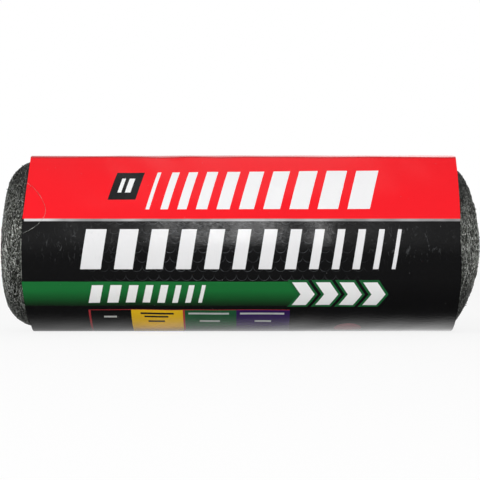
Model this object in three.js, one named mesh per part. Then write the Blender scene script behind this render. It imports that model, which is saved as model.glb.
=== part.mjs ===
// A roll of steel wool in a printed card sleeve, lying on its side.
//
// Millimetres, +Z up. The roll's axis runs along X and the printed front faces -Y.
// The origin is on the surface that the roll rests on, under the middle of its whole length.
//
// Angles round the section start at the front and rise over the top to the back, so 0 is
// the front, 90 the top, 180 the back and 270 the bottom.

import * as THREE from 'three';
import { mergeVertices } from 'three/addons/utils/BufferGeometryUtils.js';

const degree = Math.PI / 180;

// Card sleeve: one sheet, as long as the sleeve is wide, wrapped once and glued along a lap
const sleeveLength = 210;
const sleeveRadius = 44.2;
const cardThickness = 0.45;
const lapWidth = 19;
const lapStartAngle = 192;
// The stretch over which the outer layer climbs onto the inner one
const lapRampWidth = 4;
// How far a cut edge of the card leans, from its outer face to its inner one
const cutEdgeLean = 0.12;

// Handling has left two soft folds in the card, with a flattened panel between them
const frontFoldAngle = 15.6;
const topFoldAngle = 67.5;
const topFoldRise = 2;
const panelBow = 2.1;
// Where the card beyond the top fold is back on the round part
const topBlendAngle = 95;

// The flat spot that the soft roll has pressed into itself where it rests
const restWidth = 20;

// Steel wool: one batt wound on itself, standing out of the sleeve at both ends
const woolClearance = 0.35;
const leftOverhang = 13.5;
const rightOverhang = 14.4;
const domeStartInsideSleeve = 1;
const battThickness = 9;
// How far the seam between two turns lies below the crown of a turn
const seamDepth = 1.8;
// Below 1, a turn is full-bodied with a narrow seam
const crownPower = 0.7;
// The higher, the nearer to the rim the turns still stand out
const rimFadePower = 6;
const coreRadius = 4.5;
const corePitDepth = 3;
// A dome is a superellipse: a larger first power makes its face flatter, and a larger
// second power makes its shoulder fuller. Its middle has sagged by the drop.
const leftDome = { face: 5.2, shoulder: 1.24, drop: 5.6 };
const rightDome = { face: 1.94, shoulder: 1.06, drop: 1.9 };

// Facets: degrees along the section, rows across a turn, and when two points are one
const angleStep = 6;
const rowsPerTurn = 4;
const mergeDistance = 1e-4;

const restDistance = Math.sqrt(sleeveRadius ** 2 - (restWidth / 2) ** 2);
const restHalfAngle = Math.asin(restWidth / 2 / sleeveRadius) / degree;
const sleeveCentreX = (leftOverhang - rightOverhang) / 2;
const sleeveLeftX = sleeveCentreX - sleeveLength / 2;
const sleeveRightX = sleeveCentreX + sleeveLength / 2;

function polarPoint(angle, radius) {
  return new THREE.Vector2(radius * Math.cos(angle * degree), radius * Math.sin(angle * degree));
}

// The circle that bulges by bow beyond the straight line from one point to another
function bowedArc(from, to, bow) {
  const chord = to.clone().sub(from);
  const radius = chord.length() ** 2 / (8 * bow) + bow / 2;
  const outward = new THREE.Vector2(chord.y, -chord.x).normalize();
  const middle = from.clone().add(to).multiplyScalar(0.5);
  return { centre: middle.addScaledVector(outward, bow - radius), radius };
}

// The circle through a point that joins the round part smoothly at an angle
function blendArc(point, angle) {
  const direction = polarPoint(angle, 1);
  const along = point.dot(direction);
  const full = sleeveRadius;
  const radius = (point.lengthSq() - 2 * full * along + full ** 2) / (2 * (full - along));
  return { centre: direction.multiplyScalar(full - radius), radius };
}

// Where a ray from the roll's axis leaves a circle
function rayRadius(angle, circle) {
  const direction = polarPoint(angle, 1);
  const along = circle.centre.dot(direction);
  return along + Math.sqrt(along ** 2 - circle.centre.lengthSq() + circle.radius ** 2);
}

const frontFold = polarPoint(frontFoldAngle, sleeveRadius);
const topFold = polarPoint(topFoldAngle, sleeveRadius + topFoldRise);
const panelArc = bowedArc(frontFold, topFold, panelBow);
const topArc = blendArc(topFold, topBlendAngle);

// The radius of the card's outer face, before the lap is added
function sectionRadius(angle) {
  if (angle >= frontFoldAngle && angle <= topFoldAngle) return rayRadius(angle, panelArc);
  if (angle > topFoldAngle && angle < topBlendAngle) return rayRadius(angle, topArc);
  const fromBottom = angle - 270;
  if (Math.abs(fromBottom) < restHalfAngle) return restDistance / Math.cos(fromBottom * degree);
  return sleeveRadius;
}

// The lap, as angles: the ramp leads up to it, and the outer layer ends after it
const millimetre = 1 / sleeveRadius / degree;
const lapRampAngle = lapStartAngle - lapRampWidth * millimetre;
const lapEndAngle = lapStartAngle + lapWidth * millimetre;
const leanAngle = cutEdgeLean * millimetre;

// How far the outer face stands off a single layer
function outerLift(angle) {
  if (angle <= lapRampAngle || angle >= lapEndAngle + leanAngle) return 0;
  if (angle > lapEndAngle) return (cardThickness * (lapEndAngle + leanAngle - angle)) / leanAngle;
  return cardThickness * Math.min(1, (angle - lapRampAngle) / (lapStartAngle - lapRampAngle));
}

// How far the inner face stands off it, between the ramp and the sheet's inner edge
function innerLift(angle) {
  return angle > lapStartAngle ? 0 : outerLift(angle);
}

// Every angle at which the section has a corner, and even steps between them
const roundCorners = [
  0,
  frontFoldAngle,
  topFoldAngle,
  topBlendAngle,
  180,
  270 - restHalfAngle,
  270 + restHalfAngle,
  360,
];
const lapCorners = [
  lapRampAngle,
  lapStartAngle,
  lapStartAngle + leanAngle,
  lapEndAngle,
  lapEndAngle + leanAngle,
];

function steppedAngles(corners) {
  const sorted = [...corners].sort((a, b) => a - b);
  const angles = [];
  for (let i = 0; i + 1 < sorted.length; i++) {
    const steps = Math.ceil((sorted[i + 1] - sorted[i]) / angleStep);
    for (let step = 0; step < steps; step++) {
      angles.push(THREE.MathUtils.lerp(sorted[i], sorted[i + 1], step / steps));
    }
  }
  return angles;
}

// The section as points with their outward directions, so that every layer is offset alike
function sectionPoints(angles) {
  const points = angles.map((angle) => ({ angle, at: polarPoint(angle, sectionRadius(angle)) }));
  points.forEach((point, i) => {
    const before = points.at(i - 1).at;
    const after = points[(i + 1) % points.length].at;
    point.out = new THREE.Vector2(after.y - before.y, before.x - after.x).normalize();
  });
  return points;
}

function offsetSection(points, offset) {
  return points.map((point) => point.at.clone().addScaledVector(point.out, offset(point.angle)));
}

// A point of the section becomes a point of the roll
function place(x, point) {
  return new THREE.Vector3(x, -point.x, restDistance + point.y);
}

function solid(points, triangles) {
  const geometry = new THREE.BufferGeometry();
  geometry.setAttribute('position', new THREE.Float32BufferAttribute(points.flatMap((p) => p.toArray()), 3));
  geometry.setIndex(triangles.flat());
  const merged = mergeVertices(geometry, mergeDistance);
  const index = Array.from(merged.index.array);
  const kept = [];
  for (let i = 0; i < index.length; i += 3) {
    const [a, b, c] = index.slice(i, i + 3);
    if (a !== b && b !== c && c !== a) kept.push(a, b, c);
  }
  merged.setIndex(kept);
  const facets = merged.toNonIndexed();
  facets.computeVertexNormals();
  return facets;
}

// Rings of equal length joined one to the next
function ringWalls(ringCount, ringLength) {
  const triangles = [];
  for (let ring = 0; ring < ringCount; ring++) {
    for (let i = 0; i < ringLength; i++) {
      const next = (i + 1) % ringLength;
      const a = ring * ringLength + i;
      const b = ring * ringLength + next;
      const c = (ring + 1) * ringLength + next;
      const d = (ring + 1) * ringLength + i;
      triangles.push([a, b, c], [a, c, d]);
    }
  }
  return triangles;
}

// Printed sleeve: outer face, right-hand cut edge, inner face and left-hand cut edge
function sleeveGeometry() {
  const sheet = sectionPoints(steppedAngles([...roundCorners, ...lapCorners]));
  const outer = offsetSection(sheet, outerLift);
  const inner = offsetSection(sheet, (angle) => innerLift(angle) - cardThickness);
  const rings = [
    outer.map((point) => place(sleeveRightX, point)),
    outer.map((point) => place(sleeveLeftX, point)),
    inner.map((point) => place(sleeveLeftX, point)),
    inner.map((point) => place(sleeveRightX, point)),
  ];
  rings.push(rings[0]);
  return solid(rings.flat(), ringWalls(4, sheet.length));
}

// Height of the wool above the plane where its dome starts, at a share of the full radius
function domeHeight(share, overhang, dome) {
  const height = overhang + domeStartInsideSleeve;
  return height * (1 - share ** dome.face) ** (1 / dome.shoulder);
}

// The crown of a turn, which sinks to the seams on either side and fades out at the rim
function turnRelief(share, across) {
  const crown = Math.sin(Math.PI * across) ** crownPower;
  return seamDepth * (crown - 1) * (1 - share ** rimFadePower);
}

// A point of the end's outline at a share of the full radius, sagging towards the middle
function saggingPoint(onRim, share, dome) {
  const point = onRim.clone().multiplyScalar(share);
  point.y -= dome.drop * (1 - share);
  return point;
}

// One end of the wool: the wound batt seen end on, as a strip that follows the spiral.
// Points past the rim are drawn back onto it, so the last turn runs out under the sleeve.
function woolEnd(angles, rim, startX, facing, overhang, dome, points, triangles) {
  const turns = Math.ceil((sleeveRadius - coreRadius) / battThickness) + 2;
  const columns = turns * rim.length;
  const first = points.length;
  for (let column = 0; column <= columns; column++) {
    const onRim = rim[column % rim.length];
    const wound = Math.floor(column / rim.length) + angles[column % rim.length] / 360;
    for (let row = 0; row <= rowsPerTurn; row++) {
      const across = row / rowsPerTurn;
      const radius = coreRadius + battThickness * (wound + across);
      const share = Math.min(1, radius / sleeveRadius);
      const height = domeHeight(share, overhang, dome) + turnRelief(share, across % 1);
      points.push(place(startX + facing * height, saggingPoint(onRim, share, dome)));
    }
  }
  const addTriangle = (a, b, c) => triangles.push(facing < 0 ? [a, b, c] : [a, c, b]);
  const stride = rowsPerTurn + 1;
  for (let column = 0; column < columns; column++) {
    for (let row = 0; row < rowsPerTurn; row++) {
      const a = first + column * stride + row;
      const b = a + stride;
      addTriangle(a, b + 1, b);
      addTriangle(a, a + 1, b + 1);
    }
  }
  // The pit in the middle, and the step where the batt begins
  const centre = points.length;
  const pitHeight = domeHeight(0, overhang, dome) - corePitDepth;
  points.push(place(startX + facing * pitHeight, saggingPoint(rim[0], 0, dome)));
  for (let column = 0; column < rim.length; column++) {
    const a = first + column * stride;
    addTriangle(centre, a, a + stride);
  }
  for (let row = 0; row < rowsPerTurn; row++) {
    addTriangle(centre, first + row + 1, first + row);
  }
}

function woolGeometry() {
  const angles = steppedAngles(roundCorners);
  const rim = offsetSection(sectionPoints(angles), () => -cardThickness - woolClearance);
  const leftX = sleeveLeftX + domeStartInsideSleeve;
  const rightX = sleeveRightX - domeStartInsideSleeve;
  const points = [];
  points.push(...rim.map((point) => place(rightX, point)));
  points.push(...rim.map((point) => place(leftX, point)));
  const triangles = ringWalls(1, rim.length);
  woolEnd(angles, rim, leftX, -1, leftOverhang, leftDome, points, triangles);
  woolEnd(angles, rim, rightX, 1, rightOverhang, rightDome, points, triangles);
  return solid(points, triangles);
}

function piece(name, geometry, color, roughness, metalness) {
  const material = new THREE.MeshStandardMaterial({ color, roughness, metalness });
  const mesh = new THREE.Mesh(geometry, material);
  mesh.name = name;
  return mesh;
}

const group = new THREE.Group();
group.add(piece('wool_roll', woolGeometry(), 0x6d6e6b, 0.45, 0.85));
group.add(piece('printed_sleeve', sleeveGeometry(), 0x1a1b1d, 0.3, 0));

export default group;
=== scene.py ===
import math

import bpy
import numpy as np
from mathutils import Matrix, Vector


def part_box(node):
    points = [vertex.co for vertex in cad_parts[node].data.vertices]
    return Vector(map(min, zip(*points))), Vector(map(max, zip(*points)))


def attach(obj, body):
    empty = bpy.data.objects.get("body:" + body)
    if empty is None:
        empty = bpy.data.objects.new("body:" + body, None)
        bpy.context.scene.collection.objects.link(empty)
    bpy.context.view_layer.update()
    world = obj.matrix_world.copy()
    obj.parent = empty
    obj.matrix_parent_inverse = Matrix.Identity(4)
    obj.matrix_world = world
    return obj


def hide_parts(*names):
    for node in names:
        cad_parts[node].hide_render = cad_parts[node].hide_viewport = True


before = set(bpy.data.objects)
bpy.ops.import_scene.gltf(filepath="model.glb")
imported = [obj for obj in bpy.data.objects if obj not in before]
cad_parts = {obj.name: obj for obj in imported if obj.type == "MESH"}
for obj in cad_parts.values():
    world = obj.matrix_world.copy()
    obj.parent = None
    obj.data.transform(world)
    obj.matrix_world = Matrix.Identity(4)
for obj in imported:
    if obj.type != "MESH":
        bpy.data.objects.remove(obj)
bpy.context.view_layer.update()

# A roll of steel wool in a glued and printed card sleeve, lying on its side on a white table.
# Metres and degrees. X runs along the roll, the printed front faces -Y and Z is up.
# Angles round the roll start at the front and rise over the top to the back.

mm = 0.001
degree = math.pi / 180

sleeveLow, sleeveHigh = (np.array(corner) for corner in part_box("printed_sleeve"))
woolLow, woolHigh = (np.array(corner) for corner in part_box("wool_roll"))

# the round part of the sleeve, its axis and its ends, all read from the frame
sleeveRadius = (sleeveHigh[1] - sleeveLow[1]) / 2
sleeveMiddle = (sleeveLow[0] + sleeveHigh[0]) / 2
sleeveLength = sleeveHigh[0] - sleeveLow[0]

section = {
    "restWidth": 9 * mm,      # the flat spot that the soft roll rests on
    "frontFold": 15.6,        # lower edge of the flattened panel
    "topFold": (71.0, 63.4),  # its upper edge at the left and the right end of the sleeve
    "topFoldRise": (1.4 * mm, 3.7 * mm),
    "panelBow": 2.1 * mm,
    "topBlend": 95.0,         # from here the card follows the round wool again
    "step": 0.25,             # degrees between the outline's points
    "foldSoftness": 0.36,     # degrees over which a fold is rounded
    "foldReach": 12,          # steps each way that the rounding takes in
}
axisHeight = math.sqrt(sleeveRadius ** 2 - (section["restWidth"] / 2) ** 2)
degreesPerMetre = 1 / (sleeveRadius * degree)


def toLinear(hexColour):
    values = [int(hexColour[i:i + 2], 16) / 255 for i in (1, 3, 5)]
    linear = [v / 12.92 if v <= 0.04045 else ((v + 0.055) / 1.055) ** 2.4 for v in values]
    return (*linear, 1.0)


# an input takes a value, a hex colour, a socket, or a node that stands for its first output
def addNode(tree, kind, inputs=None, **settings):
    node = tree.nodes.new("ShaderNode" + kind)
    for name, value in settings.items():
        setattr(node, name, value)
    for name, value in (inputs or {}).items():
        if isinstance(value, bpy.types.Node):
            value = value.outputs[0]
        if isinstance(value, bpy.types.NodeSocket):
            tree.links.new(value, node.inputs[name])
        else:
            node.inputs[name].default_value = toLinear(value) if isinstance(value, str) else value
    return node


def newMaterial(name):
    material = bpy.data.materials.new(name)
    material.use_nodes = True
    material.node_tree.nodes.clear()
    return material, material.node_tree


def placeObject(name, data):
    thing = bpy.data.objects.new(name, data)
    bpy.context.scene.collection.objects.link(thing)
    return thing


def addObject(name, points, faces, materials, faceSlots=None, uvs=None, uvName="sheet"):
    mesh = bpy.data.meshes.new(name)
    mesh.from_pydata(points, [], faces)
    for material in materials:
        mesh.materials.append(material)
    if faceSlots is not None:
        mesh.polygons.foreach_set("material_index", faceSlots)
    if uvs is not None:
        corners = np.empty(len(mesh.loops), dtype=np.int32)
        mesh.loops.foreach_get("vertex_index", corners)
        layer = mesh.uv_layers.new(name=uvName)
        layer.data.foreach_set("uv", np.asarray(uvs)[corners].ravel())
    mesh.polygons.foreach_set("use_smooth", [True] * len(mesh.polygons))
    mesh.update()
    return placeObject(name, mesh)


# waves that add up to a smooth, seeded field over any points
def waveField(points, wavelength, seed, count=28):
    random = np.random.default_rng(seed)
    directions = random.normal(size=(count, points.shape[-1]))
    directions /= np.linalg.norm(directions, axis=1)[:, None]
    directions *= (2 * math.pi / (wavelength * random.uniform(0.6, 1.7, count)))[:, None]
    phases = random.uniform(0, 2 * math.pi, count)
    return np.sin(points @ directions.T + phases).sum(axis=-1) / math.sqrt(count / 2)


# the roll's section

# depth towards the viewer and height, both from the roll's axis
def polar(angles, radii):
    return np.array([radii * np.cos(angles * degree), radii * np.sin(angles * degree)])


def toWorld(x, depth, height):
    return np.stack([x, -depth, axisHeight + height], axis=-1)


# length of a curve from its first point to each of them
def lengthsAlong(curve):
    return np.concatenate([[0], np.cumsum(np.hypot(*np.diff(curve)))])


# distance from the roll's axis to an arc round another centre
def rayRadius(angles, centre, radius):
    along = centre @ polar(angles, 1)
    return along + np.sqrt(along ** 2 - centre @ centre + radius ** 2)


# outer radius of the single card at each angle, for a place along the sleeve from 0 to 1
def sectionRadius(angles, along):
    lowFold = section["frontFold"]
    highFold = np.interp(along, (0, 1), section["topFold"])
    rise = np.interp(along, (0, 1), section["topFoldRise"])
    start, end = polar(lowFold, sleeveRadius), polar(highFold, sleeveRadius + rise)
    chord = end - start
    chordLength = np.linalg.norm(chord)
    bow = section["panelBow"]
    panelRadius = chordLength ** 2 / (8 * bow) + bow / 2
    outward = np.array([chord[1], -chord[0]]) / chordLength
    panelCentre = (start + end) / 2 + outward * (bow - panelRadius)
    # over the fold, an arc that runs into the round part where the two touch
    blend = polar(section["topBlend"], 1)
    reach = end @ blend
    topRadius = (end @ end - 2 * sleeveRadius * reach + sleeveRadius ** 2) / (2 * (sleeveRadius - reach))
    topCentre = blend * (sleeveRadius - topRadius)
    halfRest = math.asin(section["restWidth"] / 2 / sleeveRadius) / degree

    turn = np.arange(0, 360, section["step"])
    radii = np.full(len(turn), sleeveRadius)
    panel = (turn >= lowFold) & (turn <= highFold)
    radii[panel] = rayRadius(turn[panel], panelCentre, panelRadius)
    top = (turn > highFold) & (turn < section["topBlend"])
    radii[top] = rayRadius(turn[top], topCentre, topRadius)
    rest = abs(turn - 270) < halfRest
    radii[rest] = axisHeight / np.cos((turn[rest] - 270) * degree)
    # folds in card are rounded, so the outline is softened a little
    near = section["foldReach"]
    kernel = np.exp(-0.5 * (np.arange(-near, near + 1) * section["step"] / section["foldSoftness"]) ** 2)
    padded = np.concatenate([radii[-near:], radii, radii[:near]])
    radii = np.convolve(padded, kernel / kernel.sum(), mode="valid")
    return np.interp(np.asarray(angles) % 360, turn, radii, period=360)


print("section ready: radius %.1f mm, axis %.1f mm up, wool out by %.1f and %.1f mm" % (
    sleeveRadius / mm, axisHeight / mm, (sleeveLow[0] - woolLow[0]) / mm, (woolHigh[0] - sleeveHigh[0]) / mm))


# camera

camera = {
    "distance": 796 * mm,  # from the roll's axis, by the sleeve's perspective
    "lens": 118.05,
    "aside": -0.9 * mm,    # of the sleeve's middle
    "above": 1.9 * mm,     # the axis
}


def makeCamera():
    data = bpy.data.cameras.new("camera")
    data.lens = camera["lens"]
    data.sensor_width = 36
    data.clip_start = 0.05
    data.clip_end = 50
    thing = placeObject("camera", data)
    thing.location = (sleeveMiddle + camera["aside"], -camera["distance"], axisHeight + camera["above"])
    thing.rotation_euler = (90 * degree, 0, 0)
    bpy.context.scene.camera = thing


makeCamera()
print("camera placed")


# printed card sleeve

sleeve = {
    "cardThickness": 0.42 * mm,
    "lapStart": 192.0,        # the sheet's inner end, low at the back
    "lapWidth": 19 * mm,
    "lapRamp": 4 * mm,
    "glueGap": 0.02 * mm,
    "columns": 96,
    "pathStep": 2.0,          # degrees between points round the roll,
    "foldStep": 0.5,          # near a fold,
    "rampStep": 0.6,          # and on the ramp over the lap
    "foldZone": 3.0,          # degrees each way that count as near a fold
    "ripple": 0.07 * mm,      # shallow waves of card over soft wool
    "rippleLength": 26 * mm,
    "crumple": 0.012 * mm,    # finer dents under the front fold
    "crumpleLength": 7 * mm,
    "crumplePlace": (-5, 7),  # mm up the sheet from the fold, and spread
    "clearOfLap": (30, 20),   # degrees without ripples, and degrees over which they start
    "clearOfRest": (14, 10),
    "edgeReach": 0.1,         # share of the length that follows a cut edge
    # the two cut edges wander a little: (angle round the roll, mm towards +X)
    "leftEdge": ((-75, 0.6), (-65, 0.9), (-45, 0.0), (-35, -0.4), (-24, -0.75), (-12, -0.35),
                 (0, -0.3), (15, -0.1), (30, 0.35), (50, 0.5), (66, 0.35), (80, 0.0)),
    "rightEdge": ((-60, 0.0), (-35, 0.1), (-20, 0.4), (-8, 0.0), (0, -0.4), (15, -0.4),
                  (40, -0.1), (66, 0.3), (80, 0.0)),
}

# the print, with painted shade and highlights among it, in millimetres: along from the sleeve's
# middle, and up the sheet from the front fold
halfLength = sleeveLength / mm / 2
label = {
    "redTop": 60.0,
    "backLine": 1.2,
    "lineTop": 0.2,
    "lineBottom": -0.97,
    "lineInset": 0.7,
    "bandTop": -30.7,
    "bandBottom": -45.4,
    "bandEnd": 30.0,
    "bandFade": 5.0,             # the green is at its fullest this far down
    "crestShade": (-0.9, 1.5, 0.5),   # painted shade on the top fold: from, to, soft edge
    # rings: spacing and rim width, strength of the painted highlight on their rims, and where it fades out
    # towards each end, from faint to full
    "ringPitch": 5.3,
    "ringWidth": 0.3,
    "ringHighlightStrength": 0.5,
    "ringHighlightFades": ((-78.0, -38.0), (66.0, 20.0)),
    # rows of slanting bars: low and high edge, slant, first bar, how many, first and last width,
    # gap and ink
    "barRows": (
        (-24.3, -4.9, 0.156, -74.0, 13, (9.6, 2.2), 6.2, "whiteOnBlack"),
        (5.5, 28.6, 0.228, -48.5, 10, (2.6, 10.4), 4.8, "white"),
        (-43.0, -32.6, 0.2, -66.0, 8, (5.4, 1.9), 3.7, "whiteOnGreen"),
    ),
    # rows of flat fields: low and high edge, slant, and (from, to, ink) for each
    "badge": (
        (11.2, 28.6, 0.228, [(-67.5, -54.5, "badge")]),
        (15.5, 24.5, 0.228, [(-64.5, -62.2, "white"), (-60.6, -57.8, "white")]),
    ),
    "cellTop": -47.8,
    "cellBottom": -80.0,
    "cellLine": 0.38,
    "cellEdges": (-74.8, -54.8, -28.8, -3.5, 22.8),
    "cellInks": ("black", "cellYellow", "cellGreen", "cellPurple"),
    "cellStrokes": (
        (-51.6, -50.2, 0.0, [(-50.0, -34.0, "badge"), (-26.5, -6.5, "palePrint"), (-1.0, 20.0, "palePrint")]),
        (-54.2, -52.8, 0.0, [(-67.5, -61.5, "palePrint"), (-48.0, -36.0, "badge")]),
        (-58.6, -57.0, 0.0, [(-46.0, -38.0, "badge"), (-21.0, -11.5, "palePrint"), (5.5, 13.5, "palePrint")]),
    ),
    "disc": (52.4, -67.0, 6.8),  # along, up and radius
}

# the run of arrow heads at the end of the green band, in the label's millimetres
chevrons = {
    "first": 27.5,
    "count": 4,
    "pitch": 11.4,
    "middle": -37.8,
    "halfHeight": 6.7,
    "halfWidth": 3.4,
    "slant": 0.62,
    "point": 4.2,      # how far the points reach ahead
    "rim": 1.2,
    "rimAlong": 1.44,  # a slanting rim takes more room along the sleeve
}

# marks of handling and painted light, as (from, to, soft edge) in the label's millimetres
wearAndGlare = {
    "creaseGlareUp": (-11, -2, 9),  # painted glare on fine creases where the card was squeezed under the fold
    "creaseGlareAlong": (-38, 30, 34),
    "scuffUp": (-19, -4, 8),
    "scuffFromMiddle": (62, 96, 18),
    "scuffBack": (68, 130, 20),
    "whiteStretch": (12, 28),     # from its left end the fold line is full white, then greys in patches
    # painted highlight on the fold line where the glare falls: from, to, soft edge
    "foldLineHighlight": (-8, 18, 30),
    "speckSize": 0.035,        # share of the specks' spacing
    "speckFrom": 0.62,         # nearer to 1 means fewer of them
}

varnish = {
    "ior": 1.36,
    "roughness": (0.15, 0.20),
    "grain": 0.01 * mm,
    "crinkle": 0.06 * mm,
}

ink = {
    "red": "#f41a25",
    "white": "#eeeeef",
    "whiteOnBlack": "#e4e4e5",
    "whiteOnGreen": "#f4f4f4",
    # painted shade along the top fold
    "crestShade": "#cc0c18",
    "foldLine": "#d2d2d3",
    "black": "#0b0b0c",
    # painted highlight on the rings' rims and on the creases
    "ring": "#55585b",
    "greenTop": "#186f34",
    # bottom of the green band, darkened partly as painted shade
    "greenBottom": "#121d12",
    "cellYellow": "#efc21f",
    "cellGreen": "#1d5a37",
    "cellPurple": "#33175a",
    "cellLine": "#b4353b",
    "rim": "#1c5f33",
    "badge": "#1b1b1d",
    "palePrint": "#c9cccb",
    "disc": "#8a4a50",
    "speck": "#9a9a98",
    "rub": "#8f9294",
    "board": "#b9b4aa",
    "boardEdge": "#dcd9d2",
}


# 1 between two limits
def insideRange(tree, value, low, high):
    above = addNode(tree, "Math", {0: value, 1: low}, operation="GREATER_THAN")
    below = addNode(tree, "Math", {0: value, 1: high}, operation="LESS_THAN")
    return product(tree, above, below)


# the same with edges of the given width
def softRange(tree, value, low, high, edge):
    rise = addNode(tree, "MapRange", {0: value, 1: low - edge / 2, 2: low + edge / 2})
    fall = addNode(tree, "MapRange", {0: value, 1: high + edge / 2, 2: high - edge / 2})
    return product(tree, rise, fall)


def product(tree, *values):
    result = values[0]
    for value in values[1:]:
        result = addNode(tree, "Math", {0: result, 1: value}, operation="MULTIPLY")
    return result


def paintOver(tree, under, over, mask):
    return addNode(tree, "Mix", {0: mask, 6: under, 7: over}, data_type="RGBA").outputs[2]


def setStops(ramp, stops):
    elements = ramp.color_ramp.elements
    for i, (place, colour) in enumerate(stops):
        stop = elements[i] if i < 2 else elements.new(place)
        stop.position = place
        stop.color = colour


# a row of flat fields: each is (from, to, colour) in millimetres along the sleeve
def fieldRow(tree, under, along, up, row):
    low, high, slant, fields = row
    lean = addNode(tree, "Math", {0: up, 1: -slant, 2: along}, operation="MULTIPLY_ADD")
    reach = halfLength + 10
    place = addNode(tree, "MapRange", {0: lean, 1: -reach, 2: reach})
    ramp = addNode(tree, "ValToRGB", {0: place})
    ramp.color_ramp.interpolation = "CONSTANT"
    stops = [(-reach, (0, 0, 0, 0))]
    for start, end, colour in fields:
        # neighbours share a stop
        if abs(start - stops[-1][0]) < 0.01:
            stops.pop()
        stops += [(start, toLinear(ink[colour])), (end, (0, 0, 0, 0))]
    setStops(ramp, [((x + reach) / (2 * reach), colour) for x, colour in stops])
    mask = product(tree, ramp.outputs["Alpha"], insideRange(tree, up, low, high))
    return paintOver(tree, under, ramp.outputs["Color"], mask)


# slanting bars whose widths grow or shrink along the row, set out with one gap
def barRow(low, high, slant, start, count, widths, gap, colour):
    fields = []
    for width in np.linspace(*widths, count):
        fields.append((start, start + width, colour))
        start += width + gap
    return low, high, slant, fields


# coloured cells between thin red lines, with short strokes in them
def cellRows():
    edges, line, top = label["cellEdges"], label["cellLine"], label["cellTop"]
    fields = []
    for left, right, colour in zip(edges, edges[1:], label["cellInks"]):
        fields += [(left, left + line, "cellLine"), (left + line, right, colour)]
    fields.append((edges[-1], edges[-1] + line, "cellLine"))
    cells = (label["cellBottom"], top, 0.0, fields)
    topLine = (top - line, top, 0.0, [(edges[0], edges[-1] + line, "cellLine")])
    return cells, topLine, *label["cellStrokes"]


# painted highlight: overlapping rings in a honeycomb, each drawn only where its lower rim would catch light
def ringRimHighlights(tree, along, up):
    pitch = label["ringPitch"]
    outer = pitch / 2
    sheet = addNode(tree, "CombineXYZ", {0: along, 1: up})
    uneven = addNode(tree, "TexNoise", {"Vector": sheet, "Scale": 0.3, "Detail": 2.0})
    shine = addNode(tree, "MapRange", {0: uneven, 1: 0.38, 2: 0.66, 3: 0.3, 4: 1.5})
    arcs = []
    for shift in (0.0, 0.5):
        offsets = []
        for value, step in ((along, pitch), (up, pitch * math.sqrt(3))):
            scaled = addNode(tree, "Math", {0: value, 1: 1 / step, 2: shift}, operation="MULTIPLY_ADD")
            part = addNode(tree, "Math", {0: scaled}, operation="FRACT")
            offset = addNode(tree, "Math", {0: part, 1: step, 2: -step / 2}, operation="MULTIPLY_ADD")
            offsets.append(offset)
        across, rise = offsets
        vector = addNode(tree, "CombineXYZ", {0: across, 1: rise})
        reach = addNode(tree, "VectorMath", {0: vector}, operation="LENGTH").outputs["Value"]
        rim = insideRange(tree, reach, outer - label["ringWidth"], outer)
        lit = addNode(tree, "MapRange", {0: rise, 1: pitch * 0.1, 2: -pitch * 0.45, 3: 0.06})
        arcs.append(product(tree, rim, lit, shine))
    return addNode(tree, "Math", {0: arcs[0], 1: arcs[1]}, operation="MAXIMUM")


# black ground with painted highlights on the lower rims of faint rings, and painted glare on creases under
# the front fold
def paintGround(tree, flat, along, up):
    fades = []
    for faint, full in label["ringHighlightFades"]:
        fades.append(addNode(tree, "MapRange", {0: along, 1: faint, 2: full, 3: 0.05}))
    onGround = insideRange(tree, up, label["bandTop"], label["lineBottom"])
    rings = product(tree, ringRimHighlights(tree, along, up), *fades, onGround, label["ringHighlightStrength"])
    colour = paintOver(tree, ink["black"], ink["ring"], rings)

    # painted highlight: pale streaks where fine creases catch light, each about 4 mm long and 1 mm wide
    drawnOut = addNode(tree, "VectorMath", {0: flat, 1: (0.28, 1.1, 0)}, operation="MULTIPLY")
    streaks = addNode(tree, "TexNoise", {"Vector": drawnOut, "Scale": 0.95, "Detail": 2.5})
    marks = addNode(tree, "MapRange", {0: streaks, 1: 0.5, 2: 0.72, 4: 0.42})
    creaseGlare = product(tree, marks, softRange(tree, up, *wearAndGlare["creaseGlareUp"]),
            softRange(tree, along, *wearAndGlare["creaseGlareAlong"]))
    return paintOver(tree, colour, ink["ring"], creaseGlare)


# red panel, the thin line at its back edge, and the white line on the front fold
def paintPanel(tree, colour, flat, along, up):
    redTop = label["redTop"]
    panel = insideRange(tree, up, label["lineTop"], redTop)
    colour = paintOver(tree, colour, ink["red"], panel)
    backLine = insideRange(tree, up, redTop, redTop + label["backLine"])
    colour = paintOver(tree, colour, ink["whiteOnBlack"], backLine)

    # the line greys in patches, least near its left end, and is whiter in its middle as a painted highlight
    lineNoise = addNode(tree, "TexNoise", {"Vector": flat, "Scale": 0.045, "Detail": 3.0})
    greyed = addNode(tree, "MapRange", {0: lineNoise, 1: 0.35, 2: 0.65, 3: 0.26, 4: 0.68})
    whole, greyBeyond = (place - halfLength for place in wearAndGlare["whiteStretch"])
    fullyWhite = addNode(tree, "MapRange", {0: along, 1: whole, 2: greyBeyond, 3: 1.0, 4: 0.0})
    kept = addNode(tree, "Math", {0: greyed, 1: fullyWhite}, operation="MAXIMUM")
    # painted highlight: the line is whiter in its middle
    lineHighlight = softRange(tree, along, *wearAndGlare["foldLineHighlight"])
    kept = addNode(tree, "Math", {0: lineHighlight, 1: 0.3, 2: kept}, operation="MULTIPLY_ADD", use_clamp=True)
    line = product(tree, softRange(tree, up, label["lineBottom"], label["lineTop"], 0.5), kept,
            insideRange(tree, along, label["lineInset"] - halfLength, halfLength + 1))
    return paintOver(tree, colour, ink["foldLine"], line)


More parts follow.
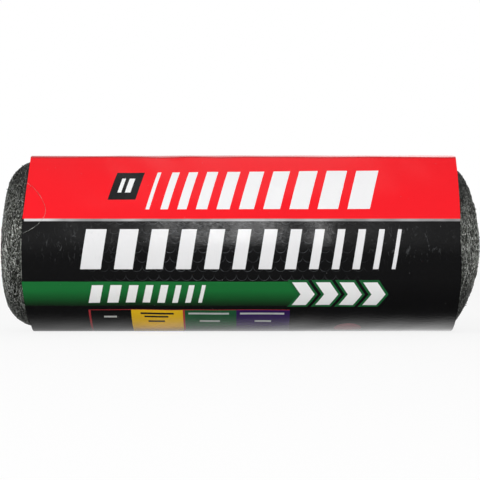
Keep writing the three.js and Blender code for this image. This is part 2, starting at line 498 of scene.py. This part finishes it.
# painted shade: the red is darker along the crest of the top fold
def paintCrestShade(tree, colour, along, up):
    foldLeft, foldRight = topFoldPlaces()
    slope = (foldLeft - foldRight) / (2 * halfLength)
    level = addNode(tree, "Math", {0: along, 1: slope, 2: up}, operation="MULTIPLY_ADD")
    middle = (foldLeft + foldRight) / 2
    low, high, edge = label["crestShade"]
    crestShade = softRange(tree, level, middle + low, middle + high, edge)
    return paintOver(tree, colour, ink["crestShade"], crestShade)


# green band that darkens down into the black: partly a printed fade, partly painted shade where the card
# turns under
def paintBand(tree, colour, along, up):
    low, high = label["bandBottom"], label["bandTop"]
    fade = addNode(tree, "MapRange", {0: up, 1: low, 2: high - label["bandFade"]})
    green = paintOver(tree, ink["greenBottom"], ink["greenTop"], fade)
    band = product(tree, insideRange(tree, up, low, high),
            insideRange(tree, along, -halfLength - 1, label["bandEnd"]))
    return paintOver(tree, colour, green, band)


def paintChevrons(tree, colour, along, up):
    pitch, first = chevrons["pitch"], chevrons["first"]
    rise = addNode(tree, "Math", {0: up, 1: chevrons["middle"]}, operation="SUBTRACT")
    fold = addNode(tree, "Math", {0: rise}, operation="ABSOLUTE")
    bent = addNode(tree, "Math", {0: fold, 1: chevrons["slant"], 2: along}, operation="MULTIPLY_ADD")
    point = addNode(tree, "Math", {0: bent, 1: chevrons["point"]}, operation="SUBTRACT")
    steps = addNode(tree, "Math", {0: point, 1: 1 / pitch, 2: 0.5 - first / pitch}, operation="MULTIPLY_ADD")
    part = addNode(tree, "Math", {0: steps}, operation="FRACT")
    across = addNode(tree, "Math", {0: part, 1: pitch, 2: -pitch / 2}, operation="MULTIPLY_ADD")
    run = insideRange(tree, point, first - pitch / 2, first + pitch * (chevrons["count"] - 0.5))
    for rim, rimAlong, inkName in ((chevrons["rim"], chevrons["rimAlong"], "rim"), (0, 0, "whiteOnGreen")):
        half = chevrons["halfWidth"] + rimAlong
        mask = product(tree, run, insideRange(tree, across, -half, half),
                insideRange(tree, fold, -1, chevrons["halfHeight"] + rim))
        colour = paintOver(tree, colour, ink[inkName], mask)
    return colour


# pale dust specks, and fine rubs near both ends and on the back
def paintWear(tree, colour, flat, along, up, position):
    specks = addNode(tree, "TexVoronoi", {"Vector": flat, "Scale": 0.22})
    pick = addNode(tree, "SeparateColor", {0: specks.outputs["Color"]})
    dots = product(tree, insideRange(tree, specks.outputs["Distance"], -1, wearAndGlare["speckSize"]),
            insideRange(tree, pick, wearAndGlare["speckFrom"], 2.0), 0.55)
    colour = paintOver(tree, colour, ink["speck"], dots)

    fromMiddle = addNode(tree, "Math", {0: along}, operation="ABSOLUTE")
    scuffed = product(tree, softRange(tree, fromMiddle, *wearAndGlare["scuffFromMiddle"]),
            softRange(tree, up, *wearAndGlare["scuffUp"]))
    back = softRange(tree, up, *wearAndGlare["scuffBack"])
    scuffed = addNode(tree, "Math", {0: back, 1: 0.5, 2: scuffed}, operation="MULTIPLY_ADD")
    drawnOut = addNode(tree, "VectorMath", {0: position, 1: (1.0, 1.0, 0.45)}, operation="MULTIPLY")
    rubs = addNode(tree, "TexNoise", {"Vector": drawnOut, "Scale": 520.0, "Detail": 5.0,
            "Roughness": 0.75, "Distortion": 0.6})
    marks = addNode(tree, "MapRange", {0: rubs, 1: 0.57, 2: 0.70, 4: 0.24})
    return paintOver(tree, colour, ink["rub"], product(tree, marks, scuffed))


# Offset-printed carton board with a gloss dispersion varnish: flat saturated inks, with painted
# shade and highlights in places, and a soft mirror on top that brightens under the lights and at
# grazing angles
def makeVarnishedPrint():
    material, tree = newMaterial("varnishedPrint")
    sheet = addNode(tree, "UVMap", uv_map="sheet")
    flat = addNode(tree, "VectorMath", {0: sheet, 1: (1 / mm, 1 / mm, 0)}, operation="MULTIPLY")
    parts = addNode(tree, "SeparateXYZ", {0: flat})
    along, up = parts.outputs[0], parts.outputs[1]
    position = addNode(tree, "NewGeometry")

    colour = paintGround(tree, flat, along, up)
    colour = paintPanel(tree, colour, flat, along, up)
    colour = paintCrestShade(tree, colour, along, up)
    colour = paintBand(tree, colour, along, up)
    for row in (*(barRow(*values) for values in label["barRows"]), *label["badge"]):
        colour = fieldRow(tree, colour, along, up, row)
    colour = paintChevrons(tree, colour, along, up)
    for row in cellRows():
        colour = fieldRow(tree, colour, along, up, row)
    x, y, radius = label["disc"]
    fromDisc = addNode(tree, "VectorMath", {0: flat, 1: (x, y, 0)}, operation="DISTANCE")
    disc = insideRange(tree, fromDisc.outputs["Value"], -1, radius)
    colour = paintOver(tree, colour, ink["disc"], disc)
    colour = paintWear(tree, colour, flat, along, up, position)

    # the varnish is a little uneven, with a fine crinkle along the roll
    smooth, rough = varnish["roughness"]
    uneven = addNode(tree, "TexNoise", {"Vector": position, "Scale": 55.0, "Detail": 4.0})
    roughness = addNode(tree, "MapRange", {0: uneven, 1: 0.3, 2: 0.7, 3: smooth, 4: rough})
    grain = addNode(tree, "TexNoise", {"Vector": position, "Scale": 900.0, "Detail": 2.0})
    drawnOut = addNode(tree, "VectorMath", {0: position, 1: (0.4, 1.0, 1.0)}, operation="MULTIPLY")
    crinkle = addNode(tree, "TexNoise", {"Vector": drawnOut, "Scale": 900.0, "Detail": 1.5})
    bump = addNode(tree, "Bump", {"Height": grain, "Strength": 0.2, "Distance": varnish["grain"]})
    bump = addNode(tree, "Bump", {"Height": crinkle, "Strength": 1.0, "Distance": varnish["crinkle"],
            "Normal": bump})
    shader = addNode(tree, "BsdfPrincipled", {"Base Color": colour, "Roughness": roughness,
            "IOR": varnish["ior"], "Normal": bump})
    addNode(tree, "OutputMaterial", {0: shader})
    return material


# Grey carton board: the uncoated back of the sheet, dull, with short pressed fibres
def makeGreyBoard():
    material, tree = newMaterial("greyBoard")
    position = addNode(tree, "NewGeometry")
    fibres = addNode(tree, "TexNoise", {"Vector": position, "Scale": 700.0, "Detail": 5.0})
    colour = paintOver(tree, ink["board"], ink["boardEdge"], fibres)
    bump = addNode(tree, "Bump", {"Height": fibres, "Strength": 0.3, "Distance": 0.05 * mm})
    shader = addNode(tree, "BsdfPrincipled", {"Base Color": colour, "Roughness": 0.85, "IOR": 1.5,
            "Normal": bump})
    addNode(tree, "OutputMaterial", {0: shader})
    return material


# the sheet's path round the roll, from its inner end to its outer one, finer at folds and lap
def sheetPath():
    start = sleeve["lapStart"]
    end = start + 360 + sleeve["lapWidth"] * degreesPerMetre
    ramp = sleeve["lapRamp"] * degreesPerMetre
    zone = sleeve["foldZone"]
    steps = [start, end, *np.arange(start, end, sleeve["pathStep"])]
    for fold in (360 + section["frontFold"], 360 + np.mean(section["topFold"])):
        steps += list(np.arange(fold - zone, fold + zone + 0.01, sleeve["foldStep"]))
    steps += list(np.arange(start + 360 - ramp, start + 360.01, sleeve["rampStep"]))
    return np.unique(np.round(steps, 3)), ramp


# the top fold slopes along the sleeve, and the points on it go with it
def foldedPath(path, along):
    middle = np.mean(section["topFold"])
    shift = np.interp(along, (0, 1), section["topFold"]) - middle
    zone = sleeve["foldZone"]
    stops = np.array([section["frontFold"] + 2 * zone, middle - zone, middle + zone, section["topBlend"]])
    return path + np.interp(path, stops + 360, (0, shift, shift, 0))


# how far up the sheet the top fold lies, at the left and the right end
def topFoldPlaces():
    places = []
    for end in (0, 1):
        angles = np.arange(section["frontFold"], section["topFold"][end], 0.1)
        places.append(lengthsAlong(polar(angles, sectionRadius(angles, end)))[-1] / mm)
    return places


# 0 up to a clearance and 1 from a ramp beyond it
def clearOf(distance, clearance, ramp):
    return np.clip((distance - clearance) / ramp, 0, 1)


def makeSleeve():
    basePath, ramp = sheetPath()
    columns = np.linspace(0, 1, sleeve["columns"])
    climb = np.clip((basePath - (sleeve["lapStart"] + 360 - ramp)) / ramp, 0, 1)
    lift = (sleeve["cardThickness"] + sleeve["glueGap"]) * climb * climb * (3 - 2 * climb)
    outerPoints, innerPoints, uvs = [], [], []
    for along in columns:
        path = foldedPath(basePath, along)
        radii = sectionRadius(path, along) + lift
        x = sleeveLow[0] + along * sleeveLength
        for name, fromEnd in (("leftEdge", along), ("rightEdge", 1 - along)):
            wander = np.interp((path + 180) % 360 - 180, *np.transpose(sleeve[name])) * mm
            x = x + wander * max(0, 1 - fromEnd / sleeve["edgeReach"])
        lengths = lengthsAlong(polar(path, radii))
        up = lengths - np.interp(360 + section["frontFold"], path, lengths)
        # ripples keep clear of the lap and of the flat spot, and pull inwards only
        place = np.stack([x, *polar(path, radii)], axis=-1)
        ripple = sleeve["ripple"] * (waveField(place, sleeve["rippleLength"], 11) - 1)
        middle, spread = sleeve["crumplePlace"]
        nearFold = np.exp(-((up / mm - middle) / spread) ** 2)
        crumple = sleeve["crumple"] * nearFold * (waveField(place, sleeve["crumpleLength"], 12) - 1)
        free = clearOf(np.minimum(path - path[0], path[-1] - path), *sleeve["clearOfLap"])
        free *= clearOf(abs(path - 270), *sleeve["clearOfRest"])
        radii = radii + (ripple + crumple) * free
        outerPoints.append(toWorld(x, *polar(path, radii)))
        innerPoints.append(toWorld(x, *polar(path, radii - sleeve["cardThickness"])))
        uvs.append(np.stack([x - sleeveMiddle, up], axis=-1))

    # print outside, board inside and on all four edges
    count = len(basePath)
    total = len(columns) * count
    last = total - count
    faces, slots = [], []
    for column in range(0, last, count):
        for a in range(column, column + count - 1):
            b, c, d = a + count, a + count + 1, a + 1
            faces += [(a, b, c, d), (a + total, d + total, c + total, b + total)]
            slots += [0, 1]
    for i in range(count - 1):
        a, b = last + i, last + i + 1
        faces += [(i, i + 1, i + 1 + total, i + total), (b, a, a + total, b + total)]
        slots += [1, 1]
    for a in range(0, last, count):
        b, c, d = a + count, a + count - 1, a + 2 * count - 1
        faces += [(a, a + total, b + total, b), (c, d, d + total, c + total)]
        slots += [1, 1]
    points = np.concatenate(outerPoints + innerPoints)
    uvs = np.concatenate(uvs * 2)
    materials = [makeVarnishedPrint(), makeGreyBoard()]
    thing = addObject("card_sleeve", points.tolist(), faces, materials, slots, uvs)
    thing.data.set_sharp_from_angle(angle=40 * degree)
    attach(thing, "root")
    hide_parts("printed_sleeve")
    print("sleeve made: %d faces" % len(faces))


makeSleeve()


# steel wool

# pairs are for the left and the right end
wool = {
    "clearance": 0.35 * mm,        # to the inside of the card
    "startInside": 1 * mm,         # each dome starts this far inside the sleeve
    "overhang": (13.5 * mm, 14.4 * mm),
    "face": (5.2, 1.94),           # the domes are superellipses
    "shoulder": (1.24, 1.06),
    "drop": (5.6 * mm, 1.9 * mm),  # how far the middle of each end has sagged
    "topSlack": (2.2 * mm, 5.9 * mm),
    "bottomSlack": (1.9 * mm, 1.2 * mm),
    "slackFrom": 25 * mm,          # above and below the axis
    "battThickness": 9 * mm,
    "coreRadius": 4.5 * mm,
    "seamDepth": 1.25 * mm,
    "crownPower": 0.34,            # a low one makes full turns with narrow seams
    "seamFade": (0.66, 0.45),      # share of the radius where seams end, and over how much
    "ringsPerEnd": 90,
    "steps": 300,
    "tuft": 0.06 * mm,             # height of the matted surface
    "tuftLength": 1.9 * mm,
    "tuftRim": 0.06,               # share of the radius that the card keeps smooth
    # the ground's tones: dark grey steel, darkened to near black as painted shade for the depth between
    # strands
    "ground": ((0.42, "#10100f"), (0.64, "#3a3a38")),
    # painted shade: fibres run round the roll, so at its top and bottom they point at the viewer and
    # catch less light, painted in as a darker colour: lightest height over the axis, distances where
    # the shade starts and is full, its strength
    "shade": ((-4 * mm, 12.5 * mm, 38 * mm, 1.03), (-1 * mm, 7 * mm, 30 * mm, 1.25)),
    "paintedShadeColour": "#161615",
    # strength of the painted shade on the batt and on the fibres
    "battPaintedShade": 0.6,
    "fibrePaintedShade": 0.68,
}
outwards = (-1, 1)


def domeHeight(share, side):
    height = wool["overhang"][side] + wool["startInside"]
    return height * np.clip(1 - share ** wool["face"][side], 0, 1) ** (1 / wool["shoulder"][side])


# the wound batt's turns: 0 in the seam between two of them and 1 at the crown of one
def turnCrown(angles, share):
    wound = (share * sleeveRadius - wool["coreRadius"]) / wool["battThickness"] - (angles % 360) / 360
    wander = 0.10 * np.sin(angles * degree * 2 + 7 * share) + 0.06 * np.sin(angles * degree * 5 + 2)
    return np.abs(np.sin(math.pi * (wound + wander)))


# how far the surface lies below the crown of its turn, at any place of the end
def turnRelief(angles, share):
    end, over = wool["seamFade"]
    fade = np.clip((end - share) / over, 0, 1) * np.clip(share * sleeveRadius / wool["coreRadius"], 0, 1)
    return wool["seamDepth"] * (turnCrown(angles, share) ** wool["crownPower"] - 1) * fade


# a point of an end's surface: side 0 is the left end and 1 the right one
def endPoint(angles, share, side):
    rim = sectionRadius(angles, side) - sleeve["cardThickness"] - wool["clearance"]
    out = domeHeight(share, side) + turnRelief(angles, share) - wool["startInside"]
    x = (sleeveLow[0], sleeveHigh[0])[side] + outwards[side] * out
    depth, height = polar(angles, rim * share)
    height -= wool["drop"][side] * (1 - share)
    # the soft roll has sunk away from the card at the top, and hangs clear of it a little below
    start = wool["slackFrom"]
    above, below = (np.clip((way - start) / (sleeveRadius - start), 0, None) for way in (height, -height))
    height += wool["bottomSlack"][side] * below ** 2 - wool["topSlack"][side] * above ** 2
    return toWorld(x, depth, height)


# shares of the radius that are evenly spread over the dome's curve
def evenShares(side, count):
    share = np.linspace(0, 1, 2001)
    lengths = lengthsAlong([share * sleeveRadius, domeHeight(share, side)])
    return np.interp(np.linspace(0, lengths[-1], count), lengths, share), lengths[-1]


# painted shade: fibres are darkened away from the lightest height of their end
def paintShadeTopAndBottom(tree, position, colour, amount):
    parts = addNode(tree, "SeparateXYZ", {0: position})
    along, height = parts.outputs[0], parts.outputs[2]
    for way, (lightest, start, full, share) in zip(outwards, wool["shade"]):
        lifted = addNode(tree, "Math", {0: height, 1: axisHeight + lightest}, operation="SUBTRACT")
        away = addNode(tree, "Math", {0: lifted}, operation="ABSOLUTE")
        here = addNode(tree, "MapRange", {0: along, 2: way * 20 * mm})
        shade = addNode(tree, "MapRange", {0: away, 1: start, 2: full, 4: amount * share})
        colour = paintOver(tree, colour, wool["paintedShadeColour"], product(tree, here, shade))
    return colour


# Medium steel wool, shaved from wire and wound as a batt: a felted ground of fibres that streaks
# along the winding, near black as the oily steel's own dark grey and as painted shade for the deep
# gaps between strands, and shows bare metal only in glints
def makeMattedWool():
    material, tree = newMaterial("mattedSteelWool")
    sheet = addNode(tree, "UVMap", uv_map="winding")
    # fibres run along the winding, so the noise is drawn out that way; at 0.1 mm they are
    # too fine to show and are drawn at about 0.4 mm
    drawnOut = addNode(tree, "VectorMath", {0: sheet, 1: (500, 2400, 0)}, operation="MULTIPLY")
    streaks = addNode(tree, "TexNoise", {"Vector": drawnOut, "Scale": 1.0, "Detail": 4.0,
            "Roughness": 0.65, "Distortion": 0.8})
    position = addNode(tree, "NewGeometry")
    tangle = addNode(tree, "TexNoise", {"Vector": position, "Scale": 900.0, "Detail": 5.0, "Distortion": 1.5})
    mixed = addNode(tree, "Mix", {0: 0.45, 2: streaks, 3: tangle})
    ramp = addNode(tree, "ValToRGB", {0: mixed})
    setStops(ramp, [(place, toLinear(colour)) for place, colour in wool["ground"]])
    # painted shade at the top and bottom of each end
    colour = paintShadeTopAndBottom(tree, position, ramp, wool["battPaintedShade"])
    roughness = addNode(tree, "MapRange", {0: tangle, 1: 0.35, 2: 0.65, 3: 0.75, 4: 0.5})
    bump = addNode(tree, "Bump", {"Height": mixed, "Strength": 0.9, "Distance": 0.5 * mm})
    shader = addNode(tree, "BsdfPrincipled", {"Base Color": colour, "Metallic": 0.3,
            "Roughness": roughness, "Normal": bump})
    addNode(tree, "OutputMaterial", {0: shader})
    return material


def makeWool():
    steps, tuftLength = wool["steps"], wool["tuftLength"]
    angles = np.linspace(0, 360, steps, endpoint=False)
    rings, uvs = [], []
    for side in (0, 1):
        shares, length = evenShares(side, wool["ringsPerEnd"])
        # from the middle of the left end to its rim, then from the right rim to the middle
        for k in range(1, len(shares))[::-outwards[side]]:
            ring = endPoint(angles, np.full(steps, shares[k]), side)
            tufts = waveField(ring, tuftLength, 21) + 0.6 * waveField(ring, tuftLength / 2.4, 22)
            outsideCard = np.clip((1 - shares[k]) / wool["tuftRim"], 0, 1)
            ring[:, 0] += outwards[side] * wool["tuft"] * tufts * outsideCard
            rings.append(ring)
            around = angles * degree * shares[k] * sleeveRadius
            uvs.append(np.stack([around, np.full(steps, length * k / len(shares))], axis=-1))
    faces = []
    for ring in range(0, (len(rings) - 1) * steps, steps):
        for i in range(steps):
            j = (i + 1) % steps
            faces.append((ring + i, ring + j, ring + steps + j, ring + steps + i))
    centres = [endPoint(np.zeros(1), np.zeros(1), side) for side in (0, 1)]
    points = np.concatenate(rings + centres)
    uvs = np.concatenate([*uvs, np.zeros((2, 2))])
    last = (len(rings) - 1) * steps
    for i in range(steps):
        j = (i + 1) % steps
        faces += [(len(points) - 2, j, i), (len(points) - 1, last + i, last + j)]
    thing = addObject("wool_batt", points.tolist(), faces, [makeMattedWool()], None, uvs, "winding")
    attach(thing, "root")
    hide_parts("wool_roll")
    print("wool made: %d faces" % len(faces))


makeWool()


# loose fibres over both ends: real strands, thicker than life so that they show

# scatter and bend are in degrees, mix is the share of fibres in the painted-shade, grey and painted-glint
# tones
strands = {
    "felt": {"count": 14500, "points": 4, "step": 0.9 * mm, "width": 0.26 * mm, "scatter": 25, "bend": 14,
             "depth": 0.05 * mm, "stand": 0.22 * mm, "seed": 30, "mix": (0.70, 0.23, 0.07)},
    "long": {"count": 2200, "points": 8, "step": 3.2 * mm, "width": 0.22 * mm, "scatter": 12, "bend": 9,
             "depth": 0.1 * mm, "stand": 0.24 * mm, "seed": 31, "mix": (0.62, 0.26, 0.12)},
    "curls": {"count": 2500, "points": 7, "step": 1.3 * mm, "width": 0.22 * mm, "scatter": 50, "bend": 40,
              "depth": 0.05 * mm, "stand": 0.26 * mm, "seed": 32, "mix": (0.62, 0.26, 0.12)},
    # short strands mostly in the painted-glint tone
    "glints": {"count": 4600, "points": 4, "step": 0.36 * mm, "width": 0.35 * mm, "scatter": 22, "bend": 12,
               "depth": 0.0 * mm, "stand": 0.38 * mm, "seed": 33, "mix": (0.0, 0.15, 0.85)},
}

# how every strand lies on the wool
lay = {
    "outermost": 0.985,  # share of the radius
    "innermost": 1 * mm,
    "tightest": 3 * mm,  # radius that a strand may turn round the middle with
    "flyaways": 0.02,    # share of the strands that stand out further
    "flyawayRise": 2.2,
    "emerge": 2.2 * mm,  # out from the card, over which strands come to the surface
    "tipSink": 0.35 * mm,
    "seamDive": 1.4 * mm,
    "seamShare": 0.33,   # how much of a turn's slope dives
    "seamFade": (0.8, 0.25),
}

# one steel in three tones: the dark one is painted shade and the near-white, half-metallic one a
# painted glint; colour, roughness and how metallic
fibres = {
    "paintedShadeSteelFibre": ("#30332e", 0.42, 0.75),
    "greySteelFibre": ("#93978e", 0.32, 0.75),
    "paintedGlintSteelFibre": ("#fbfff8", 0.25, 0.5),
}
fibrePatch = "#262625"

# fibres pulled out of the wool and stuck to the card: millimetres from the sleeve's middle, degrees
strays = {
    "width": 0.09 * mm,
    "lift": 0.1 * mm,
    "points": 26,
    "mix": (0.0, 0.3, 0.7),
    "seed": 50,
    "paths": (
        ((-105.3, 44.5), (-101.6, 41.2), (-97.4, 33.6), (-95.0, 26.0), (-94.5, 19.5), (-95.6, 15.0),
         (-99.9, 10.0), (-105.2, 6.5)),
        ((-105.2, 38.5), (-103.8, 40.2), (-102.2, 42.4)),
        ((-99.4, 37.6), (-98.4, 35.0), (-97.0, 32.6)),
    ),
}


# Bright-drawn low carbon steel fibre, oily and unpolished: mid grey metal with sharp glints; its
# darkest and lightest tones are painted shade and a painted glint
def makeSteelFibre(name, colour, roughness, metallic):
    material, tree = newMaterial(name)
    position = addNode(tree, "NewGeometry")
    patches = addNode(tree, "TexNoise", {"Vector": position, "Scale": 900.0, "Detail": 3.0})
    mixed = addNode(tree, "MapRange", {0: patches, 1: 0.3, 2: 0.55, 3: 0.3})
    shade = paintOver(tree, fibrePatch, colour, mixed)
    # painted shade at the top and bottom of each end
    shade = paintShadeTopAndBottom(tree, position, shade, wool["fibrePaintedShade"])
    shader = addNode(tree, "BsdfPrincipled", {"Base Color": shade, "Metallic": metallic,
            "Roughness": roughness})
    addNode(tree, "OutputMaterial", {0: shader})
    return material


def makeStrays(materials):
    lines = []
    for path in strays["paths"]:
        stops = np.linspace(0, 1, len(path))
        share = np.linspace(0, 1, strays["points"])
        bend = np.polyfit(stops, path, min(5, len(path) - 1))
        places, angles = (np.polyval(bend[:, i], share) for i in (0, 1))
        x = places * mm + sleeveMiddle
        along = (x - sleeveLow[0]) / sleeveLength
        radii = np.array([sectionRadius(a, b) + strays["lift"] for a, b in zip(angles, along)])
        lines.append(toWorld(x, *polar(angles, radii)))
    random = np.random.default_rng(strays["seed"])
    tubesAlong("wool_strays", np.stack(lines), strays["width"], strays["mix"], random, materials)


def makeStrands(side, kind, materials):
    values = strands[kind]
    random = np.random.default_rng(values["seed"] + 100 * side)
    count, pointCount = values["count"], values["points"]
    shares, length = evenShares(side, 400)
    lengths = np.linspace(0, length, len(shares))
    # as many strands for each square millimetre from the middle to the rim
    weights = np.cumsum(shares) / shares.sum()
    reach = np.interp(random.uniform(0.004, 1, count), weights, lengths)
    angles = random.uniform(0, 360, count)
    heading = random.normal(0, values["scatter"], count) + 180 * random.integers(0, 2, count)
    bend = random.normal(0, values["bend"], count)
    outermost = np.interp(lay["outermost"], shares, lengths)
    path = []
    for k in range(pointCount):
        path.append((angles, reach))
        radius = np.maximum(np.interp(reach, lengths, shares) * sleeveRadius, lay["tightest"])
        angles = angles + values["step"] * np.cos(heading * degree) / (radius * degree)
        reach = np.clip(reach + values["step"] * np.sin(heading * degree), lay["innermost"], outermost)
        heading = heading + bend + random.normal(0, values["bend"] * 0.5, count)
    rise = random.uniform(0.2, 1, count) * values["stand"]
    rise[random.uniform(0, 1, count) < lay["flyaways"]] *= lay["flyawayRise"]
    sink = random.uniform(0, 1, count) * values["depth"]

    cardEdge = (sleeveLow[0], sleeveHigh[0])[side]
    fadeEnd, fadeOver = lay["seamFade"]
    lines = []
    for k, (angle, at) in enumerate(path):
        share = np.interp(at, lengths, shares)
        surface = endPoint(angle, share, side)
        along = endPoint(angle + 0.5, share, side) - surface
        inward = endPoint(angle, np.maximum(share - 0.01, 0.0), side) - surface
        normal = unit(np.cross(along, inward))
        normal[normal[:, 0] * outwards[side] < 0] *= -1
        outside = np.clip(outwards[side] * (surface[:, 0] - cardEdge) / lay["emerge"], 0, 1)
        bow = math.sin(math.pi * k / (pointCount - 1))
        # strands dive out of sight into the seam between two turns
        seam = np.clip(1 - turnCrown(angle, share) / lay["seamShare"], 0, 1)
        seam *= np.clip((fadeEnd - share) / fadeOver, 0, 1)
        lift = rise * (0.35 + 0.65 * bow) - sink - lay["tipSink"] * (1 - bow) - lay["seamDive"] * seam
        lines.append(surface + normal * (lift * outside)[:, None])
    name = "wool_%s_%s" % (kind, ("left", "right")[side])
    tubesAlong(name, np.stack(lines, axis=1), values["width"], values["mix"], random, materials)


def unit(vectors):
    return vectors / (np.linalg.norm(vectors, axis=-1)[..., None] + 1e-12)


# closed three-sided tubes that taper to a point at both ends
def tubesAlong(name, lines, width, mix, random, materials):
    sides = 3
    count, pointCount = lines.shape[:2]
    tangent = unit(np.gradient(lines, axis=1))
    anyWay = (0.31, 0.52, 0.79)
    first = unit(np.cross(tangent, anyWay))
    second = np.cross(tangent, first)
    widths = width * random.uniform(0.6, 1.3, count)[:, None, None] / 2
    corners = []
    for corner in range(sides):
        turn = 2 * math.pi * corner / sides
        corners.append(lines + widths * (math.cos(turn) * first + math.sin(turn) * second))
    inner = pointCount - 2
    body = np.stack(corners, axis=2)[:, 1:-1].reshape(count, inner * sides, 3)
    points = np.concatenate([body, lines[:, :1], lines[:, -1:]], axis=1)

    # faces of one strand: quads cut in two, then a fan at its tip and at its tail
    faces = []
    tip, tail, endRing = inner * sides, inner * sides + 1, (inner - 1) * sides
    for ring in range(0, endRing, sides):
        for corner in range(sides):
            a, b = ring + corner, ring + (corner + 1) % sides
            faces += [(a, b, b + sides), (a, b + sides, a + sides)]
    for corner in range(sides):
        following = (corner + 1) % sides
        faces += [(tip, following, corner), (tail, endRing + corner, endRing + following)]
    starts = np.arange(count) * (inner * sides + 2)
    allFaces = (np.array(faces)[None] + starts[:, None, None]).reshape(-1, 3)
    slots = np.repeat(random.choice(len(materials), count, p=mix), len(faces))
    mesh = bpy.data.meshes.new(name)
    mesh.vertices.add(points.size // 3)
    mesh.vertices.foreach_set("co", points.reshape(-1))
    mesh.loops.add(allFaces.size)
    mesh.loops.foreach_set("vertex_index", allFaces.ravel().astype(np.int32))
    mesh.polygons.add(len(allFaces))
    mesh.polygons.foreach_set("loop_start", np.arange(0, allFaces.size, 3, dtype=np.int32))
    for material in materials:
        mesh.materials.append(material)
    mesh.polygons.foreach_set("material_index", slots.astype(np.int32))
    mesh.update(calc_edges=True)
    mesh.validate()
    thing = placeObject(name, mesh)
    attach(thing, "root")
    print("%s: %d strands, %d faces" % (name, count, len(allFaces)))


fibreMaterials = [makeSteelFibre(name, *values) for name, values in fibres.items()]
for side in (0, 1):
    for kind in strands:
        makeStrands(side, kind, fibreMaterials)
makeStrays(fibreMaterials)


# table, light and background

stage = {
    "floorColours": ("#f4f4f4", "#f0f0f0"),
    "floorSize": 6.0,
    "floorWhite": 0.85,           # how far the table is bleached for the camera
    # the room in front, from straight down to straight up, which the card mirrors
    "frontGlow": ((-1.0, 0.08), (-0.7, 0.18), (-0.25, 0.18), (0.05, 0.46), (0.4, 0.46), (0.65, 0.28),
                  (1.0, 0.24)),
    # the white sweep behind, from left to right
    "backGlow": ((-1.0, 0.8), (-0.3, 0.7), (-0.13, 0.45), (0.0, 0.85), (0.11, 1.35), (0.2, 1.3),
                 (0.5, 0.8), (1.0, 0.8)),
    "frontToBack": (0.22, 0.75),  # where one gives way to the other
}
lamps = {
    "frontStrip": {"at": (-0.002, -1.05, 0.44), "size": (0.05, 0.60), "power": 1.6},
    "frontStripFoot": {"at": (-0.002, -1.05, 0.078), "size": (0.05, 0.13), "power": 0.15},
    "overheadStrip": {"at": (0.0, -0.05, 1.25), "size": (0.3, 1.0), "power": 0.6},
    "leftSoftbox": {"at": (-0.9, -0.75, 0.62), "size": (0.5, 0.4), "power": 8.0},
    "rightSoftbox": {"at": (0.9, -0.75, 0.46), "size": (0.5, 0.4), "power": 3.0},
}


# rays that reach the camera without a mirror on their way
def straightRays(tree, light):
    kinds = {0: light.outputs["Is Camera Ray"], 1: light.outputs["Is Transmission Ray"]}
    return addNode(tree, "Math", kinds, operation="MAXIMUM")


# Matt white laminate, a little mottled. Mirrored rays pass it and show the sweep behind
def makeFloor():
    material, tree = newMaterial("whiteTable")
    position = addNode(tree, "NewGeometry")
    mottle = addNode(tree, "TexNoise", {"Vector": position, "Scale": 3.0})
    colour = paintOver(tree, *stage["floorColours"], mottle)
    table = addNode(tree, "BsdfDiffuse", {"Color": colour})
    white = addNode(tree, "Emission", {"Color": (1, 1, 1, 1), "Strength": 1.0})
    clear = addNode(tree, "BsdfTransparent")
    light = addNode(tree, "LightPath")
    bleached = product(tree, straightRays(tree, light), stage["floorWhite"])
    seen = addNode(tree, "MixShader", {0: bleached, 1: table, 2: white})
    mixed = addNode(tree, "MixShader", {0: light.outputs["Is Glossy Ray"], 1: seen, 2: clear})
    addNode(tree, "OutputMaterial", {0: mixed})
    half = stage["floorSize"] / 2
    corners = [(-half, -half, 0), (half, -half, 0), (half, half, 0), (-half, half, 0)]
    floor = addObject("table", corners, [(0, 1, 2, 3)], [material])


def makeLamps():
    for name, values in lamps.items():
        data = bpy.data.lights.new(name, "AREA")
        data.shape = "RECTANGLE"
        data.size, data.size_y = values["size"]
        data.energy = values["power"]
        lamp = placeObject(name, data)
        lamp.location = values["at"]
        x, y, z = np.array([0, 0, axisHeight]) - np.array(values["at"])
        lamp.rotation_euler = (math.atan2(math.hypot(x, y), -z), 0, math.atan2(y, x) - math.pi / 2)


# brightness that changes with one part of a direction, by a few steps
def glowAlong(tree, part, stops):
    share = addNode(tree, "MapRange", {0: part, 1: -1.0})
    ramp = addNode(tree, "ValToRGB", {0: share})
    top = max(value for place, value in stops)
    setStops(ramp, [((place + 1) / 2, (*[value / top] * 3, 1)) for place, value in stops])
    return product(tree, ramp, top)


# a studio that is white behind the roll and dim in front; the camera sees it white all round
def makeWorld():
    world = bpy.data.worlds.new("studio")
    bpy.context.scene.world = world
    world.use_nodes = True
    tree = world.node_tree
    tree.nodes.clear()
    direction = addNode(tree, "TexCoord").outputs["Generated"]
    parts = addNode(tree, "SeparateXYZ", {0: direction})
    front = glowAlong(tree, parts.outputs[2], stage["frontGlow"])
    back = glowAlong(tree, parts.outputs[0], stage["backGlow"])
    start, end = stage["frontToBack"]
    glow = addNode(tree, "MapRange", {0: parts.outputs[1], 1: start, 2: end, 3: front, 4: back},
            interpolation_type="SMOOTHSTEP")
    straight = straightRays(tree, addNode(tree, "LightPath"))
    strength = addNode(tree, "Mix", {0: straight, 2: glow, 3: 1.0})
    background = addNode(tree, "Background", {"Color": (1, 1, 1, 1), "Strength": strength})
    addNode(tree, "OutputWorld", {0: background})


makeFloor()
makeLamps()
makeWorld()
bpy.context.scene.view_settings.view_transform = "Standard"
print("stage lit")
